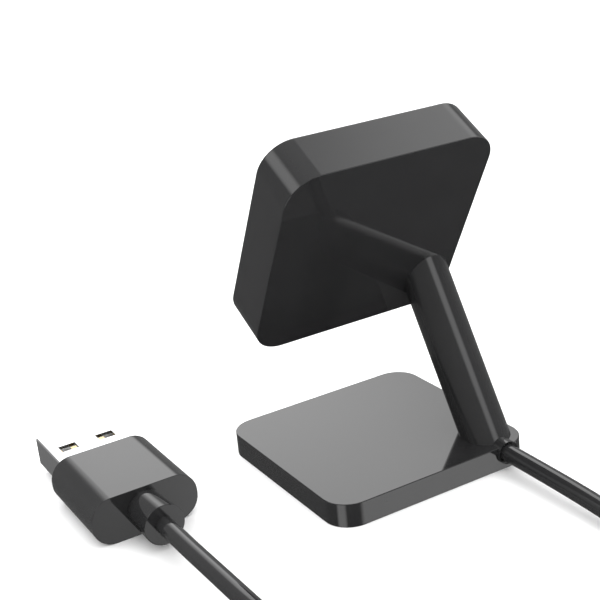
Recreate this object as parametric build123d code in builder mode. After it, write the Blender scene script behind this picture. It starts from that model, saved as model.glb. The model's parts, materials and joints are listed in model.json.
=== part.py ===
from build123d import *
from math import cos, degrees, pi, radians, sin, tan
import os

# A smartwatch charging dock: a square weighted base, one leaning stem, and a square head with sprung charging pins,
# on a lead that ends in a flat four-contact plug. Millimetres. The origin is the middle of the underside, +Z is up,
# the watch side faces -Y and the lead leaves towards +Y.

os.makedirs("parts", exist_ok=True)

# Clearances: between glued or screwed pieces, round a screw's shank, and round the sliding pins
FIT = 0.1
SCREW_ROOM = 0.15
PIN_ROOM = 0.05

# Base: a moulded cover over a steel weight, closed by a plate with a soft pad
BASE_SIZE = 33.0
BASE_HEIGHT = 3.6
BASE_CORNER = 4.0
BASE_WALL = 1.1
BASE_ROOF = 0.9
BASE_EDGE = 0.15
SKIRT_LIFT = 0.1
PLATE_LIFT = 0.3
PLATE_THICK = 1.0
PAD_THICK = 0.6
PAD_MARGIN = 1.3
WEIGHT_THICK = 1.3
WEIGHT_GAP = 0.4
BOSS_RADIUS = 1.5
BOSS_INSET = 3.9
REAR_BOSS_SHIFT = 8.6

# Stem: a round thick-walled rod, cut off level with the base and with the back of the head. Its axis stands a
# little in from one side and from the rear of the base
STEM_RADIUS = 3.6
STEM_BORE = 1.5
STEM_LEAN = 30.0
STEM_LENGTH = 24.9
STEM_SIDE = 4.4
STEM_REAR = 5.2

# Head: a square box open at the front, its back face leaning back from upright. The stem's axis meets that face
# a little in from its side and its bottom edge
HEAD_SIZE = 33.0
HEAD_DEPTH = 7.7
HEAD_CORNER = 4.8
HEAD_EDGE = 0.2
HEAD_LEAN = 30.0
NECK_SIDE = 4.4
NECK_RISE = 6.06
HEAD_WALL = 1.2
HEAD_BACK = 1.3
RIM_WALL = 0.8

# Cradle: the front cover that the watch lies against, held by four snap hooks
CRADLE_THICK = 1.7
DISH_MARGIN = 3.9
DISH_DEPTH = 0.7
HOOK_WIDTH = 4.0
HOOK_THICK = 0.8
HOOK_REACH = 1.8
HOOK_BARB = 0.35
BARB_HEIGHT = 0.6
MAGNET_RADIUS = 2.5
MAGNET_THICK = 1.5
MAGNET_GAP = 0.2
MAGNET_POCKET = 0.4

# Charging pins: brass plungers in barrels, each on its own spring of square wire, sized here by half its side
PIN_COUNT = 4
PIN_PITCH = 2.5
PIN_TRAVEL = 0.8
PIN_TIP = 0.4
PIN_PROUD = 1.0
PIN_COLLAR = 0.55
PIN_COLLAR_HEIGHT = 0.75
BARREL_WALL = 0.15
BARREL_FLOOR = 0.3
BARREL_LIP = 0.25
SPRING_WIRE = 0.07
SPRING_TURNS = 3.0
BLOCK_DEPTH = 3.0
BLOCK_END = 1.65
BLOCK_FLANGE = 0.8
BLOCK_FLANGE_HEIGHT = 1.0

# Circuit board inside the head
BOARD_SIDE_GAP = 2.3
BOARD_END_GAP = 4.3
BOARD_THICK = 1.0
BOARD_STAND = 1.7
BOARD_CORNER = 1.0
BOARD_SCREW_INSET = 2.0

# Chips, coil and capacitors on the board's front: middle, width, height and thickness of each
BOARD_PARTS = (
    (-0.8, 5.2, 4.4, 4.4, 0.9),
    (4.2, 5.0, 3.6, 3.6, 1.5),
    (-4.6, 6.2, 1.6, 0.8, 0.7),
    (-4.6, 4.4, 1.6, 0.8, 0.7),
    (-3.4, -5.2, 3.0, 3.0, 0.8),
    (0.4, -5.2, 1.6, 0.8, 0.7),
    (3.2, -5.2, 1.6, 0.8, 0.7),
    (-6.8, -5.6, 2.0, 1.2, 0.8),
)

# Screws: the shank's radius, the radius and height of a flat round head, and how deep each sort bites
SHANK_RADIUS = 0.45
PAN_RADIUS = 0.85
PAN_HEIGHT = 0.4
SLOT_WIDTH = 0.25
SLOT_LENGTH = 1.2
SLOT_DEPTH = 0.2
PLATE_SCREW_BITE = 1.2
BOARD_SCREW_BITE = 2.0
STEM_SCREW_BITE = 2.6
STEM_SCREW_X = 2.3

# Lead: sheathed outside, bare conductors inside the stem, gland at the foot of the stem
CORD_RADIUS = 1.3
WIRE_RADIUS = 0.7
WIRE_ROOM = 0.2
GLAND_RADIUS = 1.75
GLAND_Z = 2.55
GLAND_PROUD = 0.4
GLAND_SINK = 2.1
GLAND_EDGE = 0.1
CORD_SINK = 1.5
FOOT_BEND = 1.5
NECK_BEND = 1.6
LEAD_RISE = 7.4

# Plug, lying on the floor beside the dock, its shell towards -Y
PLUG_X = 37.0
PLUG_Y = -17.3
MOULD_WIDTH = 16.0
MOULD_HEIGHT = 7.1
MOULD_LENGTH = 15.9
MOULD_ROUND = 3.3
MOULD_EDGE = 0.15
STUB_RADIUS = 2.9
STUB_RISE = 0.5
STUB_LENGTH = 6.3
STUB_EDGE = 0.1
PLUG_SINK = 3.0
SHELL_WIDTH = 12.0
SHELL_HEIGHT = 4.5
SHELL_LENGTH = 11.8
SHELL_SUNK = 2.6
SHELL_SHEET = 0.3
SHELL_CORNER = 0.5
WINDOW_WIDTH = 2.4
WINDOW_LENGTH = 1.8
WINDOW_X = 3.0
WINDOW_Y = 5.5
TONGUE_THICK = 1.9
TONGUE_SHORT = 1.1
CONTACT_X = (-3.5, -1.0, 1.0, 3.5)
CONTACT_WIDTH = 1.0
CONTACT_THICK = 0.25
CONTACT_PROUD = 0.05
CONTACT_SHORT = 1.0

# Coil of spare lead behind the dock: two layers, tied
COIL_X = 10.0
COIL_Y = 84.0
COIL_RADIUS = 15.7
COIL_COLUMNS = 5.25
TIE_THICK = 0.7
TIE_WIDTH = 5.0

# Routes of the free lead: from the gland back to the coil, and from the coil forward into the stub of the plug. Each
# of its bends takes up a share of the runs beside it
BEND_SHARE = 0.45
DOCK_ROUTE = [
    (-12.1, 15.4, 2.55),
    (-12.1, 26.0, 2.55),
    (-12.1, 38.0, 2.15),
    (-11.9, 50.0, 1.3),
    (-11.3, 61.5, 1.3),
    (-11.1, 73.0, 1.3),
]
PLUG_ROUTE = [
    (31.1, 73.0, 3.9),
    (31.4, 62.5, 3.2),
    (32.4, 51.5, 1.3),
    (35.0, 41.0, 1.3),
    (36.8, 31.0, 3.6),
    (37.0, 21.0, 4.15),
    (37.0, 10.5, 4.05),
    (37.0, 1.9, 4.05),
]

# Levels and sizes that follow from the dimensions above
cavity_top = BASE_HEIGHT - BASE_ROOF
cavity_size = BASE_SIZE - 2 * BASE_WALL
cavity_corner = BASE_CORNER - BASE_WALL
plate_top = PLATE_LIFT + PLATE_THICK
plate_size = cavity_size - 2 * FIT
pad_size = plate_size - 2 * PAD_MARGIN
pad_corner = max(cavity_corner - PAD_MARGIN, 0.5)
boss_reach = BASE_SIZE / 2 - BOSS_INSET
base_bosses = [
    (boss_reach, -boss_reach),
    (boss_reach, boss_reach),
    (-boss_reach, -boss_reach),
    (STEM_SIDE - BASE_SIZE / 2 + REAR_BOSS_SHIFT, boss_reach),
]

stem_lean = radians(STEM_LEAN)
head_lean = radians(HEAD_LEAN)
lean_sum = stem_lean + head_lean
stem_x = STEM_SIDE - BASE_SIZE / 2
stem_y = BASE_SIZE / 2 - STEM_REAR
stem_direction = Vector(0, -sin(stem_lean), cos(stem_lean))
STEM = Plane(origin=(stem_x, stem_y, BASE_HEIGHT), x_dir=(1, 0, 0), z_dir=stem_direction)
stem_spare = 2 * STEM_RADIUS / tan(min(lean_sum, pi / 2 - stem_lean))

neck = STEM.origin + stem_direction * STEM_LENGTH
neck_x = NECK_SIDE - HEAD_SIZE / 2
neck_y = NECK_RISE - HEAD_SIZE / 2
head_up = Vector(0, sin(head_lean), cos(head_lean))
HEAD = Plane(
    origin=neck - Vector(neck_x, 0, 0) - head_up * neck_y,
    x_dir=(1, 0, 0),
    z_dir=(0, -cos(head_lean), sin(head_lean)),
)
head_axis = Axis(HEAD.origin, HEAD.z_dir)

cradle_seat = HEAD_DEPTH - CRADLE_THICK
inner_size = HEAD_SIZE - 2 * HEAD_WALL
rim_size = HEAD_SIZE - 2 * RIM_WALL
cradle_size = rim_size - 2 * FIT
dish_floor = HEAD_DEPTH - DISH_DEPTH
magnet_top = cradle_seat + MAGNET_POCKET
board_back = HEAD_BACK + BOARD_STAND
board_top = board_back + BOARD_THICK
board_width = inner_size - 2 * BOARD_SIDE_GAP
board_height = inner_size - 2 * BOARD_END_GAP
boss_x = board_width / 2 - BOARD_SCREW_INSET
boss_y = board_height / 2 - BOARD_SCREW_INSET
board_screws_at = [(-boss_x, boss_y), (boss_x, boss_y), (boss_x, -boss_y)]

dish_radius = HEAD_SIZE / 2 - DISH_MARGIN
hook_face = inner_size / 2 - FIT
hook_tip = cradle_seat - HOOK_REACH
barb_top = hook_tip + BARB_HEIGHT

bore_radius = PIN_COLLAR + PIN_ROOM
barrel_radius = bore_radius + BARREL_WALL
barrel_floor = board_top + BARREL_FLOOR
barrel_lip = dish_floor - BARREL_LIP
pin_xs = [(index - (PIN_COUNT - 1) / 2) * PIN_PITCH for index in range(PIN_COUNT)]
pin_tip = dish_floor + PIN_PROUD
collar_top = barrel_lip - PIN_ROOM
collar_low = collar_top - PIN_COLLAR_HEIGHT
spring_radius = bore_radius - PIN_ROOM - SPRING_WIRE
spring_height = collar_low - barrel_floor - 2 * SPRING_WIRE
block_length = (PIN_COUNT - 1) * PIN_PITCH + 2 * BLOCK_END
flange_low = cradle_seat - BLOCK_FLANGE_HEIGHT
magnet_x = block_length / 2 + BLOCK_FLANGE + MAGNET_GAP + MAGNET_RADIUS

wire_channel = WIRE_RADIUS + WIRE_ROOM
gland_mouth_y = BASE_SIZE / 2 + GLAND_PROUD
gland_back_y = BASE_SIZE / 2 - GLAND_SINK
gland_length = gland_mouth_y - gland_back_y
cord_start_y = gland_mouth_y - CORD_SINK
GLAND = Plane(origin=(stem_x, gland_mouth_y, GLAND_Z), x_dir=(1, 0, 0), z_dir=(0, -1, 0))

plug_z = MOULD_HEIGHT / 2
stub_end_y = PLUG_Y + MOULD_LENGTH + STUB_LENGTH
MOULD = Plane(origin=(PLUG_X, PLUG_Y, plug_z), x_dir=(-1, 0, 0), z_dir=(0, 1, 0))
STUB = Plane(origin=(PLUG_X, stub_end_y, plug_z + STUB_RISE), x_dir=(-1, 0, 0), z_dir=(0, 1, 0))
shell_inner_width = SHELL_WIDTH - 2 * SHELL_SHEET
shell_inner_height = SHELL_HEIGHT - 2 * SHELL_SHEET
tongue_top = TONGUE_THICK - shell_inner_height / 2
contact_low = tongue_top - CONTACT_THICK + CONTACT_PROUD

coil_width = 2 * CORD_RADIUS * COIL_COLUMNS
coil_height = 4 * CORD_RADIUS
coil_outer = COIL_RADIUS + coil_width / 2

# The seats of the screws, each plane facing the way that its screw's head faces. The screws of the stem stand a
# little off its axis, in front of it at the foot and below it at the neck, so that its wall covers their whole bite.
foot_shift = STEM_SCREW_BITE * tan(stem_lean) / 2
neck_shift = STEM_SCREW_BITE / tan(lean_sum) / 2
foot_seats = [
    Plane(origin=(stem_x + side * STEM_SCREW_X, stem_y - foot_shift, cavity_top), z_dir=(0, 0, -1)) for side in (-1, 1)
]
neck_seats = [
    Plane(
        origin=HEAD.from_local_coords(Vector(neck_x + side * STEM_SCREW_X, neck_y - neck_shift, HEAD_BACK)),
        x_dir=(1, 0, 0),
        z_dir=HEAD.z_dir,
    )
    for side in (-1, 1)
]
plate_seats = [Plane(origin=(x, y, PAD_THICK + PAN_HEIGHT), z_dir=(0, 0, -1)) for x, y in base_bosses]
board_seats = [
    Plane(origin=HEAD.from_local_coords(Vector(x, y, board_top)), x_dir=(1, 0, 0), z_dir=HEAD.z_dir)
    for x, y in board_screws_at
]
plate_reach = plate_top - PAD_THICK - PAN_HEIGHT + PLATE_SCREW_BITE
board_reach = BOARD_THICK + BOARD_SCREW_BITE
foot_reach = BASE_ROOF + STEM_SCREW_BITE
neck_reach = HEAD_BACK + STEM_SCREW_BITE


def screws(seats, reach):
    """Flat-headed screws, a head above each seat plane and a shank of the given reach below it."""
    with BuildPart() as group:
        for seat in seats:
            with BuildSketch(seat):
                Circle(PAN_RADIUS)
            extrude(amount=PAN_HEIGHT)
            with BuildSketch(seat):
                Circle(SHANK_RADIUS)
            extrude(amount=-reach)
            with BuildSketch(seat.offset(PAN_HEIGHT)):
                Rectangle(SLOT_LENGTH, SLOT_WIDTH)
                Rectangle(SLOT_WIDTH, SLOT_LENGTH)
            extrude(amount=-SLOT_DEPTH, mode=Mode.SUBTRACT)
    return group.part


def drill(seats, radius, depth):
    """Cuts a round hole below each seat plane, in the part that is being built."""
    for seat in seats:
        with BuildSketch(seat) as hole:
            Circle(radius)
        extrude(hole.sketch, amount=-depth, mode=Mode.SUBTRACT)


def head_box(width, height, corner, low, high, mode=Mode.ADD):
    """Adds or cuts a rounded block between two depths of the head, in the part that is being built."""
    with BuildSketch(HEAD.offset(low)) as outline:
        RectangleRounded(width, height, corner)
    extrude(outline.sketch, amount=high - low, mode=mode)


def free_bends(points):
    """The bend radii of a free lead: as large as the shorter of the two runs beside each corner allows."""
    radii = []
    for before, corner, after in zip(points, points[1:], points[2:]):
        arriving = Vector(corner) - Vector(before)
        leaving = Vector(after) - Vector(corner)
        half_turn = radians(arriving.get_angle(leaving) / 2)
        radii.append(BEND_SHARE * min(arriving.length, leaving.length) / tan(half_turn))
    return radii


def tube(points, radii, radius):
    """A round tube along straight runs joined by tangent arcs."""
    with BuildPart() as lead:
        with BuildLine():
            route = FilletPolyline(*points, radius=radii)
        with BuildSketch(Plane(origin=route @ 0, z_dir=route % 0)):
            Circle(radius)
        sweep(path=route)
    ratio = lead.part.volume / (pi * radius**2 * route.length)
    print("length", round(route.length, 1), "bends", [round(r, 1) for r in radii], "volume ratio", round(ratio, 4))
    return lead.part


# Base cover: a rounded square tray, upside down, with four screw bosses, a saddle for the gland and a wire slot
with BuildPart() as base_cover:
    with BuildSketch(Plane.XY.offset(SKIRT_LIFT)):
        RectangleRounded(BASE_SIZE, BASE_SIZE, BASE_CORNER)
    extrude(amount=BASE_HEIGHT - SKIRT_LIFT)
    chamfer(base_cover.faces().sort_by(Axis.Z)[-1].edges(), BASE_EDGE)
    with BuildSketch(Plane.XY.offset(SKIRT_LIFT)):
        RectangleRounded(cavity_size, cavity_size, cavity_corner)
    extrude(amount=cavity_top - SKIRT_LIFT, mode=Mode.SUBTRACT)
    with BuildSketch(Plane.XY.offset(plate_top)):
        with Locations(*base_bosses):
            Circle(BOSS_RADIUS)
    extrude(amount=cavity_top - plate_top)
    drill(plate_seats, SHANK_RADIUS, plate_reach)
    drill(foot_seats, SHANK_RADIUS + SCREW_ROOM, BASE_ROOF)
    drill([GLAND], GLAND_RADIUS, -gland_length)
    drill([GLAND.offset(gland_length)], wire_channel, stem_y - gland_back_y)
    drill([STEM.offset(BASE_ROOF)], wire_channel, 2 * (BASE_ROOF + wire_channel))
base_cover.part.label = "base_cover"
export_step(base_cover.part, "parts/base_cover.step")

# Base plate: closes the tray and clears the gland, with a shallow seat for the pad and counterbores under it
with BuildPart() as base_plate:
    with BuildSketch(Plane.XY.offset(PLATE_LIFT)):
        RectangleRounded(plate_size, plate_size, cavity_corner - FIT)
    extrude(amount=PLATE_THICK)
    with BuildSketch(Plane.XY.offset(PLATE_LIFT)):
        RectangleRounded(pad_size + 2 * FIT, pad_size + 2 * FIT, pad_corner + FIT)
    extrude(amount=PAD_THICK - PLATE_LIFT, mode=Mode.SUBTRACT)
    drill(plate_seats, SHANK_RADIUS + SCREW_ROOM, PLATE_THICK)
    drill(plate_seats, PAN_RADIUS + SCREW_ROOM, -PAN_HEIGHT)
    drill([GLAND], GLAND_RADIUS + FIT, -gland_length - FIT)
base_plate.part.label = "base_plate"
export_step(base_plate.part, "parts/base_plate.step")

# Foot pad: soft sheet that the dock stands on
with BuildPart() as foot_pad:
    with BuildSketch():
        RectangleRounded(pad_size, pad_size, pad_corner)
    extrude(amount=PAD_THICK)
foot_pad.part.label = "foot_pad"
export_step(foot_pad.part, "parts/foot_pad.step")

# Base weight: steel plate that fills the tray, cut away round the bosses and under the foot of the stem
with BuildPart() as base_weight:
    with BuildSketch(Plane.XY.offset(plate_top)):
        RectangleRounded(cavity_size - 2 * WEIGHT_GAP, cavity_size - 2 * WEIGHT_GAP, cavity_corner)
        with Locations(*base_bosses):
            Circle(BOSS_RADIUS + WEIGHT_GAP, mode=Mode.SUBTRACT)
        notch_x = stem_x + STEM_SCREW_X + PAN_RADIUS + WEIGHT_GAP
        notch_y = stem_y - foot_shift - PAN_RADIUS - WEIGHT_GAP
        with Locations((notch_x, notch_y)):
            Rectangle(BASE_SIZE, BASE_SIZE, align=(Align.MAX, Align.MIN), mode=Mode.SUBTRACT)
    extrude(amount=WEIGHT_THICK)
base_weight.part.label = "base_weight"
export_step(base_weight.part, "parts/base_weight.step")

base_screws = screws(plate_seats, plate_reach)
base_screws.label = "base_screws"
export_step(base_screws, "parts/base_screws.step")

foot_screws = screws(foot_seats, foot_reach)
foot_screws.label = "foot_screws"
export_step(foot_screws, "parts/foot_screws.step")

# Stem: a leaning tube with a pocket for the gland behind its foot and screw holes in both ends
with BuildPart() as stem:
    with BuildSketch(STEM.offset(-stem_spare)):
        Circle(STEM_RADIUS)
        Circle(STEM_BORE, mode=Mode.SUBTRACT)
    extrude(amount=STEM_LENGTH + 2 * stem_spare)
    split(bisect_by=Plane.XY.offset(BASE_HEIGHT), keep=Keep.TOP)
    split(bisect_by=HEAD, keep=Keep.BOTTOM)
    drill([GLAND], GLAND_RADIUS, -gland_length)
    drill(foot_seats, SHANK_RADIUS, foot_reach)
    drill(neck_seats, SHANK_RADIUS, neck_reach)
stem.part.label = "stem"
export_step(stem.part, "parts/stem.step")

neck_screws = screws(neck_seats, neck_reach)
neck_screws.label = "neck_screws"
export_step(neck_screws, "parts/neck_screws.step")

# Head shell: open at the front, with a ledge for the cradle, bosses for the board and grooves for the hooks
with BuildPart() as head_shell:
    head_box(HEAD_SIZE, HEAD_SIZE, HEAD_CORNER, 0, HEAD_DEPTH)
    end_faces = head_shell.faces().sort_by(head_axis)
    chamfer(end_faces[0].edges() + end_faces[-1].edges(), HEAD_EDGE)
    head_box(inner_size, inner_size, HEAD_CORNER - HEAD_WALL, HEAD_BACK, HEAD_DEPTH, Mode.SUBTRACT)
    head_box(rim_size, rim_size, HEAD_CORNER - RIM_WALL, cradle_seat, HEAD_DEPTH, Mode.SUBTRACT)
    with BuildSketch(HEAD.offset(HEAD_BACK)):
        with Locations(*board_screws_at):
            Circle(BOSS_RADIUS)
    extrude(amount=BOARD_STAND)
    drill(board_seats, SHANK_RADIUS, board_reach)
    drill(neck_seats, SHANK_RADIUS + SCREW_ROOM, HEAD_BACK)
    drill([STEM.offset(STEM_LENGTH + 2 * HEAD_BACK)], wire_channel, 4 * HEAD_BACK)
    groove_reach = inner_size + 2 * HOOK_BARB
    with BuildSketch(HEAD.offset(hook_tip - FIT)):
        Rectangle(groove_reach, HOOK_WIDTH + 2 * FIT)
        Rectangle(HOOK_WIDTH + 2 * FIT, groove_reach)
    extrude(amount=BARB_HEIGHT + FIT, mode=Mode.SUBTRACT)
head_shell.part.label = "head_shell"
export_step(head_shell.part, "parts/head_shell.step")

# Cradle: the plate that the watch lies on, with a round dish, a window for the pins, two magnet pockets behind
# and a snap hook in the middle of each side
with BuildPart() as cradle:
    head_box(cradle_size, cradle_size, HEAD_CORNER - RIM_WALL - FIT, cradle_seat, HEAD_DEPTH)
    with BuildSketch(HEAD.offset(dish_floor)):
        Circle(dish_radius)
    extrude(amount=DISH_DEPTH, mode=Mode.SUBTRACT)
    with BuildSketch(HEAD.offset(cradle_seat)):
        Rectangle(block_length + 2 * FIT, BLOCK_DEPTH + 2 * FIT)
    extrude(amount=CRADLE_THICK, mode=Mode.SUBTRACT)
    with BuildSketch(HEAD.offset(cradle_seat)):
        with Locations((-magnet_x, 0), (magnet_x, 0)):
            Circle(MAGNET_RADIUS + FIT)
    extrude(amount=MAGNET_POCKET, mode=Mode.SUBTRACT)
    for quarter in range(4):
        outward = HEAD.x_dir * cos(quarter * pi / 2) + HEAD.y_dir * sin(quarter * pi / 2)
        with BuildSketch(Plane(origin=HEAD.origin, x_dir=outward, z_dir=outward.cross(HEAD.z_dir))):
            with BuildLine():
                Polyline(
                    (hook_face, cradle_seat),
                    (hook_face, barb_top),
                    (hook_face + HOOK_BARB, barb_top),
                    (hook_face, hook_tip),
                    (hook_face - HOOK_THICK, hook_tip),
                    (hook_face - HOOK_THICK, cradle_seat),
                    close=True,
                )
            make_face()
        extrude(amount=HOOK_WIDTH / 2, both=True)
cradle.part.label = "cradle"
export_step(cradle.part, "parts/cradle.step")

# Magnets: two discs behind the dish that hold the watch in place
with BuildPart() as magnets:
    with BuildSketch(HEAD.offset(magnet_top)):
        with Locations((-magnet_x, 0), (magnet_x, 0)):
            Circle(MAGNET_RADIUS)
    extrude(amount=-MAGNET_THICK)
magnets.part.label = "magnets"
export_step(magnets.part, "parts/magnets.step")

# Charging board, and the pieces soldered to its front
with BuildPart() as charge_board:
    with BuildSketch(HEAD.offset(board_back)):
        RectangleRounded(board_width, board_height, BOARD_CORNER)
        with Locations(*board_screws_at):
            Circle(SHANK_RADIUS + SCREW_ROOM, mode=Mode.SUBTRACT)
    extrude(amount=BOARD_THICK)
charge_board.part.label = "charge_board"
export_step(charge_board.part, "parts/charge_board.step")

with BuildPart() as board_parts:
    for x, y, width, height, thick in BOARD_PARTS:
        with BuildSketch(HEAD.offset(board_top)):
            with Locations((x, y)):
                Rectangle(width, height)
        extrude(amount=thick)
board_parts.part.label = "board_parts"
export_step(board_parts.part, "parts/board_parts.step")

board_screws = screws(board_seats, board_reach)
board_screws.label = "board_screws"
export_step(board_screws, "parts/board_screws.step")

# Pin block: insulator that holds the barrels, its flange caught behind the cradle
with BuildPart() as pin_block:
    with BuildSketch(HEAD.offset(board_top)):
        Rectangle(block_length, BLOCK_DEPTH)
    extrude(amount=dish_floor - board_top)
    with BuildSketch(HEAD.offset(flange_low)):
        Rectangle(block_length + 2 * BLOCK_FLANGE, BLOCK_DEPTH + 2 * BLOCK_FLANGE)
    extrude(amount=BLOCK_FLANGE_HEIGHT)
    with BuildSketch(HEAD.offset(board_top)):
        with GridLocations(PIN_PITCH, 0, PIN_COUNT, 1):
            Circle(barrel_radius)
    extrude(amount=dish_floor - board_top, mode=Mode.SUBTRACT)
pin_block.part.label = "pin_block"
export_step(pin_block.part, "parts/pin_block.step")

# Pin barrels: closed at the board, with a lip at the front that stops each plunger's collar
with BuildPart() as pin_barrels:
    with BuildSketch(HEAD.offset(board_top)):
        with GridLocations(PIN_PITCH, 0, PIN_COUNT, 1):
            Circle(barrel_radius)
    extrude(amount=dish_floor - board_top)
    with BuildSketch(HEAD.offset(barrel_floor)):
        with GridLocations(PIN_PITCH, 0, PIN_COUNT, 1):
            Circle(bore_radius)
    extrude(amount=barrel_lip - barrel_floor, mode=Mode.SUBTRACT)
    with BuildSketch(HEAD.offset(barrel_lip)):
        with GridLocations(PIN_PITCH, 0, PIN_COUNT, 1):
            Circle(PIN_TIP + PIN_ROOM)
    extrude(amount=BARREL_LIP, mode=Mode.SUBTRACT)
pin_barrels.part.label = "pin_barrels"
export_step(pin_barrels.part, "parts/pin_barrels.step")

# Plungers and their springs, one pair in each barrel
for index, pin_x in enumerate(pin_xs, start=1):
    foot = HEAD.from_local_coords(Vector(pin_x, 0, 0))
    with BuildPart() as plunger:
        with BuildSketch(Plane(origin=foot, x_dir=HEAD.x_dir, z_dir=-HEAD.y_dir)):
            with BuildLine():
                Polyline(
                    (0, pin_tip),
                    (0, collar_low),
                    (PIN_COLLAR, collar_low),
                    (PIN_COLLAR, collar_top),
                    (PIN_TIP, collar_top),
                    (PIN_TIP, pin_tip - PIN_TIP),
                )
                dome = PIN_TIP * cos(pi / 4)
                ThreePointArc((PIN_TIP, pin_tip - PIN_TIP), (dome, pin_tip - PIN_TIP + dome), (0, pin_tip))
            make_face()
        revolve(axis=Axis(foot, HEAD.z_dir))
    plunger.part.label = f"plunger_{index}"
    export_step(plunger.part, f"parts/plunger_{index}.step")

    with BuildPart() as spring:
        with BuildLine() as wire:
            Helix(
                pitch=spring_height / SPRING_TURNS,
                height=spring_height,
                radius=spring_radius,
                center=foot + HEAD.z_dir * (barrel_floor + SPRING_WIRE),
                direction=HEAD.z_dir,
            )
        with BuildSketch(Plane(origin=wire.line @ 0, z_dir=wire.line % 0)):
            Rectangle(2 * SPRING_WIRE, 2 * SPRING_WIRE)
        sweep(path=wire.line, is_frenet=True)
    spring.part.label = f"spring_{index}"
    export_step(spring.part, f"parts/spring_{index}.step")

# Inner lead: from the gland, up the bore of the stem, to the back of the board
lead_depth = board_back - WIRE_RADIUS
foot_bend = STEM.origin + stem_direction * ((GLAND_Z - BASE_HEIGHT) / cos(stem_lean))
neck_bend = neck + stem_direction * (lead_depth / sin(lean_sum))
lead_end = HEAD.from_local_coords(Vector(neck_x, neck_y + LEAD_RISE, lead_depth))
inner_lead = tube(
    [(stem_x, cord_start_y, GLAND_Z), foot_bend, neck_bend, lead_end], [FOOT_BEND, NECK_BEND], WIRE_RADIUS
)
inner_lead.label = "inner_lead"
export_step(inner_lead, "parts/inner_lead.step")

# Cord gland: a short sleeve through the rear wall, round the cord at its mouth and the bare lead at its inner end
with BuildPart() as cord_gland:
    with BuildSketch(GLAND):
        Circle(GLAND_RADIUS)
    extrude(amount=gland_length)
    chamfer(cord_gland.edges().sort_by(Axis.Y)[-1], GLAND_EDGE)
    drill([GLAND], CORD_RADIUS, -CORD_SINK)
    drill([GLAND], WIRE_RADIUS, -gland_length)
cord_gland.part.label = "cord_gland"
export_step(cord_gland.part, "parts/cord_gland.step")

cord_dock_run = tube(DOCK_ROUTE, free_bends(DOCK_ROUTE), CORD_RADIUS)
cord_dock_run.label = "cord_dock_run"
export_step(cord_dock_run, "parts/cord_dock_run.step")

cord_plug_run = tube(PLUG_ROUTE, free_bends(PLUG_ROUTE), CORD_RADIUS)
cord_plug_run.label = "cord_plug_run"
export_step(cord_plug_run, "parts/cord_plug_run.step")

# Coil of spare lead, as the one ring that its turns fill, lifted by the strap that passes under it
TIE = Plane(origin=(COIL_X, COIL_Y + COIL_RADIUS, TIE_THICK + coil_height / 2), x_dir=(0, 1, 0), z_dir=(1, 0, 0))
with BuildSketch(TIE) as turns_section:
    Rectangle(coil_width, coil_height)
    chamfer(turns_section.vertices(), CORD_RADIUS)
with BuildSketch(TIE) as strap_section:
    Rectangle(coil_width + 2 * TIE_THICK, coil_height + 2 * TIE_THICK)
    chamfer(strap_section.vertices(), CORD_RADIUS)
with BuildPart() as cord_coil:
    with BuildSketch(Plane(origin=(COIL_X, COIL_Y, coil_height / 2), x_dir=(1, 0, 0), z_dir=(0, -1, 0))) as ring:
        with Locations((COIL_RADIUS, 0)):
            Rectangle(coil_width, coil_height)
        chamfer(ring.vertices(), CORD_RADIUS)
    revolve(axis=Axis((COIL_X, COIL_Y, 0), (0, 0, 1)))
    extrude(strap_section.sketch, amount=TIE_WIDTH / 2, both=True, mode=Mode.SUBTRACT)
    extrude(turns_section.sketch, amount=TIE_WIDTH / 2, both=True)
cord_coil.part.label = "cord_coil"
export_step(cord_coil.part, "parts/cord_coil.step")

with BuildPart() as cord_tie:
    extrude(strap_section.sketch, amount=TIE_WIDTH / 2, both=True)
    extrude(turns_section.sketch, amount=TIE_WIDTH / 2, both=True, mode=Mode.SUBTRACT)
cord_tie.part.label = "cord_tie"
export_step(cord_tie.part, "parts/cord_tie.step")

# Plug mould: a full-rounded grip with a pocket for the shell and a short stub, a little off its middle, for the cord
with BuildPart() as plug_mould:
    with BuildSketch(MOULD):
        RectangleRounded(MOULD_WIDTH, MOULD_HEIGHT, MOULD_ROUND)
    extrude(amount=MOULD_LENGTH)
    grip_ends = plug_mould.faces().sort_by(Axis.Y)
    chamfer(grip_ends[0].edges() + grip_ends[-1].edges(), MOULD_EDGE)
    with BuildSketch(STUB):
        Circle(STUB_RADIUS)
    extrude(amount=-STUB_LENGTH)
    chamfer(plug_mould.edges().sort_by(Axis.Y)[-1], STUB_EDGE)
    drill([STUB], CORD_RADIUS, PLUG_SINK)
    with BuildSketch(MOULD):
        RectangleRounded(SHELL_WIDTH, SHELL_HEIGHT, SHELL_CORNER)
    extrude(amount=SHELL_SUNK, mode=Mode.SUBTRACT)
plug_mould.part.label = "plug_mould"
export_step(plug_mould.part, "parts/plug_mould.step")

# Plug shell: folded sheet with two latch windows above and two below
with BuildPart() as plug_shell:
    with BuildSketch(MOULD.offset(-SHELL_LENGTH)):
        RectangleRounded(SHELL_WIDTH, SHELL_HEIGHT, SHELL_CORNER)
        RectangleRounded(shell_inner_width, shell_inner_height, SHELL_CORNER - SHELL_SHEET, mode=Mode.SUBTRACT)
    extrude(amount=SHELL_LENGTH + SHELL_SUNK)
    with BuildSketch(Plane(origin=(PLUG_X, PLUG_Y - WINDOW_Y, plug_z))):
        with Locations((-WINDOW_X, 0), (WINDOW_X, 0)):
            Rectangle(WINDOW_WIDTH, WINDOW_LENGTH)
    extrude(amount=SHELL_HEIGHT, both=True, mode=Mode.SUBTRACT)
plug_shell.part.label = "plug_shell"
export_step(plug_shell.part, "parts/plug_shell.step")

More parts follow.
